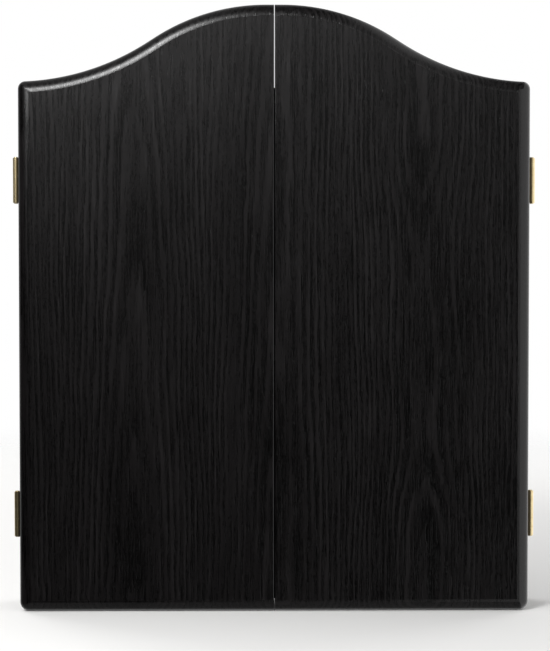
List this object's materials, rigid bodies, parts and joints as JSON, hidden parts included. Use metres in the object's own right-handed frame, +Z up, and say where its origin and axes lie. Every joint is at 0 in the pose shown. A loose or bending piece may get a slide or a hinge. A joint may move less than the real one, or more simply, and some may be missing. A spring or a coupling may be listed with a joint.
{
  "type": "dart board cabinet",
  "caption": "Shallow wall cabinet whose arched hinged doors close over a dartboard and carry scoreboards and dart racks.",
  "frame": {"origin": "on the wall face of the back panel, on the axis of the dartboard's bull's-eye", "axes": "+X right as seen from the room, +Y into the wall, +Z up; the doors face -Y"},
  "size_m": [0.5246, 0.0885, 0.608],
  "materials": {
    "black_wood": "satin black over open straight and cathedral grain",
    "back_board": "matte black board",
    "chalkboard": "matte chalkboard paint",
    "brass": "bright, lightly brushed",
    "zinc_steel": "bright zinc plate",
    "magnet": "dark sintered ferrite",
    "catch_plastic": "moulded white",
    "rubber": "matte black"
  },
  "bodies": {
    "cabinet": {"top_panel": "black_wood", "bottom_panel": "black_wood", "left_side_panel": "black_wood", "right_side_panel": "black_wood", "back_panel": "back_board", "left_upper_hinge_box_leaf": "brass", "left_upper_hinge_pin": "brass", "left_upper_hinge_box_screw_1": "brass", "left_upper_hinge_box_screw_2": "brass", "left_lower_hinge_box_leaf": "brass", "left_lower_hinge_pin": "brass", "left_lower_hinge_box_screw_1": "brass", "left_lower_hinge_box_screw_2": "brass", "right_upper_hinge_box_leaf": "brass", "right_upper_hinge_pin": "brass", "right_upper_hinge_box_screw_1": "brass", "right_upper_hinge_box_screw_2": "brass", "right_lower_hinge_box_leaf": "brass", "right_lower_hinge_pin": "brass", "right_lower_hinge_box_screw_1": "brass", "right_lower_hinge_box_screw_2": "brass", "dartboard_bracket": "zinc_steel", "dartboard_bracket_screw_1": "zinc_steel", "dartboard_bracket_screw_2": "zinc_steel", "dartboard_bracket_screw_3": "zinc_steel", "dartboard_bracket_screw_4": "zinc_steel", "left_catch_screw_1": "zinc_steel", "left_catch_screw_2": "zinc_steel", "right_catch_screw_1": "zinc_steel", "right_catch_screw_2": "zinc_steel", "left_catch_magnet": "magnet", "right_catch_magnet": "magnet", "left_catch_housing": "catch_plastic", "right_catch_housing": "catch_plastic", "left_bumper": "rubber", "right_bumper": "rubber"},
    "left_door": {"left_door": "black_wood", "left_scoreboard": "chalkboard", "left_dart_rack": "black_wood", "left_strike_plate": "zinc_steel", "left_strike_screw": "zinc_steel", "left_upper_hinge_door_leaf": "brass", "left_upper_hinge_door_screw_1": "brass", "left_upper_hinge_door_screw_2": "brass", "left_lower_hinge_door_leaf": "brass", "left_lower_hinge_door_screw_1": "brass", "left_lower_hinge_door_screw_2": "brass"},
    "right_door": {"right_door": "black_wood", "right_scoreboard": "chalkboard", "right_dart_rack": "black_wood", "right_strike_plate": "zinc_steel", "right_strike_screw": "zinc_steel", "right_upper_hinge_door_leaf": "brass", "right_upper_hinge_door_screw_1": "brass", "right_upper_hinge_door_screw_2": "brass", "right_lower_hinge_door_leaf": "brass", "right_lower_hinge_door_screw_1": "brass", "right_lower_hinge_door_screw_2": "brass"}
  },
  "joints": [
    {"name": "left_door_hinge", "type": "hinge", "parent": "cabinet", "child": "left_door", "pos_m": [-0.2592, -0.07125, 0], "axis": [0, 0, -1], "range_deg": [0, 180]},
    {"name": "right_door_hinge", "type": "hinge", "parent": "cabinet", "child": "right_door", "pos_m": [0.2592, -0.07125, 0], "axis": [0, 0, 1], "range_deg": [0, 180]}
  ]
}
